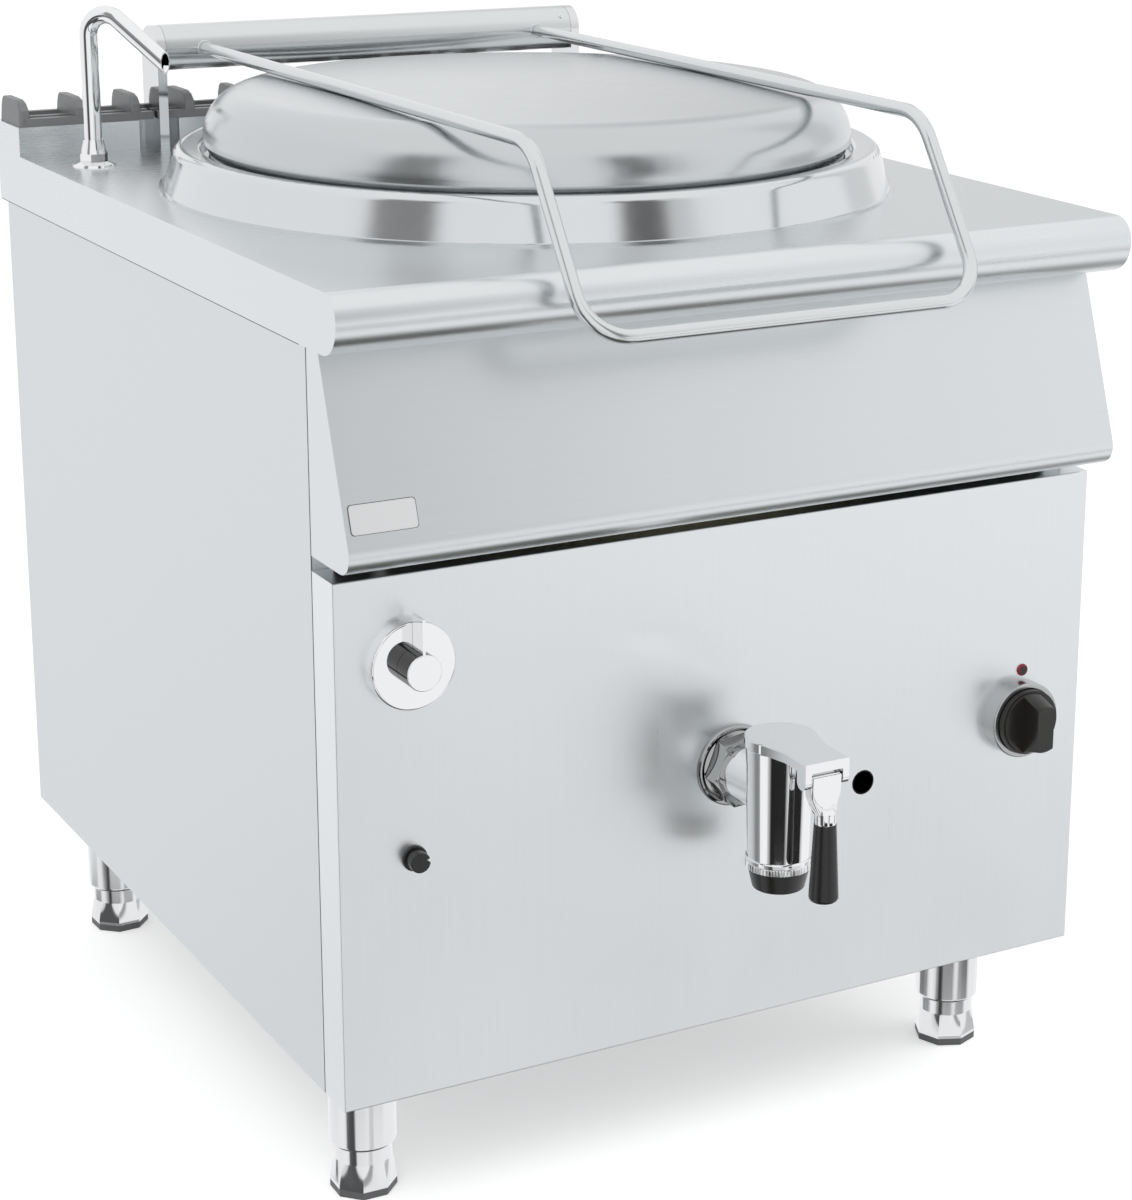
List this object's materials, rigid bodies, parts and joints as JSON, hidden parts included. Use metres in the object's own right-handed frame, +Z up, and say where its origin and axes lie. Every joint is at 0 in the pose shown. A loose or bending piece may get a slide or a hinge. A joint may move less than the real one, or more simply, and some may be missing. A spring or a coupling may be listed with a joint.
{
  "type": "steam jacketed kettle",
  "caption": "Free-standing boiling kettle with a round jacketed vessel, lift-up lid on a rear hinge tube, front drain tap, water spout and levelling feet.",
  "frame": {"origin": "bottom centre of the whole object's bounding box, on the floor", "axes": "+X to the right as seen from the front, front faces -Y, +Z up"},
  "size_m": [0.8, 1.0282, 1.037],
  "materials": {
    "panel_steel": "satin",
    "worktop_steel": "satin",
    "lid_steel": "satin",
    "vessel_steel": "satin",
    "bright_metal": "polished",
    "inner_steel": "galvanised",
    "valve_brass": "cast",
    "bush_plastic": "plain",
    "grille_casting": "grey enamel",
    "mineral_wool": "fibrous",
    "black_plastic": "satin",
    "lamp_red": "clear gloss"
  },
  "bodies": {
    "casing": {"left_side_panel": "panel_steel", "right_side_panel": "panel_steel", "rear_panel": "panel_steel", "front_panel": "panel_steel", "console_panel": "panel_steel", "base_frame": "inner_steel", "base_pan": "inner_steel", "worktop": "worktop_steel", "kettle_collar": "worktop_steel", "flue_grille": "grille_casting", "leg_sleeves": "vessel_steel", "hinge_posts": "bright_metal", "hinge_axles": "bright_metal", "balance_spring": "inner_steel", "vessel": "vessel_steel", "jacket": "vessel_steel", "jacket_insulation": "mineral_wool", "combustion_chamber": "inner_steel", "flue_duct": "inner_steel", "burner": "inner_steel", "spout_flange": "bright_metal", "spout_nut": "bright_metal", "water_control_disc": "bright_metal", "water_valve": "valve_brass", "water_supply_pipe": "inner_steel", "spout_feed_pipe": "inner_steel", "gas_knob_bezel": "bright_metal", "gas_valve": "valve_brass", "indicator_lamp": "lamp_red", "igniter_body": "black_plastic", "sight_tube": "inner_steel", "gas_supply_pipe": "inner_steel", "burner_pipe": "inner_steel", "drain_pipe": "vessel_steel", "drain_flange": "bright_metal", "drain_hex_nut": "bright_metal", "drain_tap_body": "bright_metal", "tap_clamp_ring": "bright_metal", "drain_outlet_nozzle": "black_plastic", "drain_tap_cover": "bright_metal", "drain_lever_pin": "bright_metal"},
    "lid": {"lid_outer_shell": "lid_steel", "lid_inner_shell": "lid_steel", "lid_handle_rod": "bright_metal", "hinge_tube": "bright_metal", "hinge_bushes": "bush_plastic"},
    "spout": {"spout_tube": "bright_metal"},
    "water_control": {"water_control_handle": "bright_metal", "water_valve_spindle": "inner_steel"},
    "gas_plunger": {"gas_valve_plunger": "inner_steel"},
    "gas_control": {"gas_knob": "black_plastic", "gas_spindle": "inner_steel"},
    "igniter": {"igniter_button": "black_plastic"},
    "drain_lever_arm": {"drain_lever": "bright_metal", "drain_lever_grip": "black_plastic"},
    "drain_plug": {"drain_tap_plug": "bright_metal"},
    "levelling_front_left": {"foot_front_left": "vessel_steel"},
    "levelling_rear_left": {"foot_rear_left": "vessel_steel"},
    "levelling_front_right": {"foot_front_right": "vessel_steel"},
    "levelling_rear_right": {"foot_rear_right": "vessel_steel"}
  },
  "joints": [
    {"name": "lid_hinge", "type": "hinge", "parent": "casing", "child": "lid", "pos_m": [0, 0.45425, 0.978], "axis": [-1, 0, 0], "range_deg": [0, 85], "stiffness_Nm_per_rad": 22, "springref_deg": 106},
    {"name": "spout_swivel", "type": "hinge", "parent": "casing", "child": "spout", "pos_m": [-0.35, 0.35025, 0.95], "axis": [0, 0, 1], "range_deg": [-60, 50]},
    {"name": "water_handle_turn", "type": "hinge", "parent": "casing", "child": "water_control", "pos_m": [-0.3245, -0.34575, 0.5458], "axis": [0, -1, 0], "range_deg": [-90, 90]},
    {"name": "gas_knob_push", "type": "slide", "parent": "casing", "child": "gas_plunger", "axis": [0, 1, 0], "range_m": [0, 0.005], "stiffness_N_per_m": 1500, "springref_m": -0.004},
    {"name": "gas_knob_turn", "type": "hinge", "parent": "gas_plunger", "child": "gas_control", "pos_m": [0.319, -0.34575, 0.3878], "axis": [0, -1, 0], "range_deg": [0, 180]},
    {"name": "igniter_push", "type": "slide", "parent": "casing", "child": "igniter", "axis": [0, 1, 0], "range_m": [0, 0.004], "stiffness_N_per_m": 800, "springref_m": -0.003},
    {"name": "drain_lever_lift", "type": "hinge", "parent": "casing", "child": "drain_lever_arm", "pos_m": [0, -0.49575, 0.432], "axis": [-1, 0, 0], "range_deg": [0, 90]},
    {"name": "drain_plug_lift", "type": "slide", "parent": "casing", "child": "drain_plug", "axis": [0, 0, 1], "range_m": [0, 0.025]},
    {"name": "level_front_left", "type": "slide", "parent": "casing", "child": "levelling_front_left", "axis": [0, 0, -1], "range_m": [0, 0.05]},
    {"name": "level_rear_left", "type": "slide", "parent": "casing", "child": "levelling_rear_left", "axis": [0, 0, -1], "range_m": [0, 0.05]},
    {"name": "level_front_right", "type": "slide", "parent": "casing", "child": "levelling_front_right", "axis": [0, 0, -1], "range_m": [0, 0.05]},
    {"name": "level_rear_right", "type": "slide", "parent": "casing", "child": "levelling_rear_right", "axis": [0, 0, -1], "range_m": [0, 0.05]}
  ],
  "couplings": [
    {"joint": "drain_plug_lift", "follows": "drain_lever_lift", "m_per_rad": 0.015915}
  ]
}
